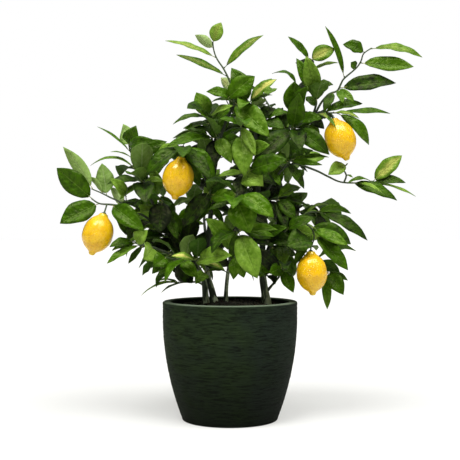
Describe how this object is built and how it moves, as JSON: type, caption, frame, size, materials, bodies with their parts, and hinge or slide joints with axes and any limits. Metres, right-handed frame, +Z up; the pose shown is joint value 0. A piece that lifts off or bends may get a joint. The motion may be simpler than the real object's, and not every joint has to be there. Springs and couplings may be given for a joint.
{
  "type": "potted lemon tree",
  "caption": "Young lemon tree with glossy pointed leaves and ripe yellow fruit, growing as a clump of thin stems from soil in a round, tapering, combed dark planter.",
  "frame": {"origin": "centre of the pot's flat foot, at the level that it stands on", "axes": "+Z up along the pot's axis, +X to the right as seen from the front, -Y towards the viewer of the front"},
  "size_m": [0.6698, 0.3879, 0.7348],
  "materials": {
    "pot": "matt, very dark green, finely combed",
    "soil": "loose dark potting soil",
    "bark": "grey-green bark",
    "rind": "satin pored rind",
    "foliage": "glossy leaves on green twigs"
  },
  "bodies": {
    "root": {"lemon_left_high": "rind", "lemon_left_low": "rind", "lemon_right_high": "rind", "lemon_right_low": "rind", "pot": "pot", "shoot_back_inner": "foliage", "shoot_back_inner_left": "foliage", "shoot_back_inner_low": "foliage", "shoot_back_left": "foliage", "shoot_back_left_low": "foliage", "shoot_back_left_mid": "foliage", "shoot_back_middle": "foliage", "shoot_back_middle_low": "foliage", "shoot_back_middle_right": "foliage", "shoot_back_right": "foliage", "shoot_back_right_low": "foliage", "shoot_back_right_mid": "foliage", "shoot_back_top": "foliage", "shoot_back_top_left": "foliage", "shoot_center_front": "foliage", "shoot_center_high": "foliage", "shoot_center_left": "foliage", "shoot_center_low": "foliage", "shoot_center_right": "foliage", "shoot_center_top": "foliage", "shoot_crown_middle": "foliage", "shoot_crown_right": "foliage", "shoot_inner_left": "foliage", "shoot_left_end": "foliage", "shoot_left_high": "foliage", "shoot_left_inner": "foliage", "shoot_left_low": "foliage", "shoot_left_mid": "foliage", "shoot_left_top": "foliage", "shoot_lemon_left": "foliage", "shoot_lemon_right_high": "foliage", "shoot_lemon_right_low": "foliage", "shoot_low_back_left": "foliage", "shoot_low_front": "foliage", "shoot_low_left": "foliage", "shoot_low_middle": "foliage", "shoot_low_right": "foliage", "shoot_mid_right": "foliage", "shoot_right_branch": "foliage", "shoot_right_fan": "foliage", "shoot_right_inner": "foliage", "shoot_right_under": "foliage", "shoot_top_left": "foliage", "shoot_top_middle": "foliage", "shoot_top_right": "foliage", "shoot_upper_left": "foliage", "shoot_upper_middle": "foliage", "soil": "soil", "trunk_inner": "bark", "trunk_left": "bark", "trunk_middle": "bark", "trunk_right": "bark"}
  },
  "joints": []
}
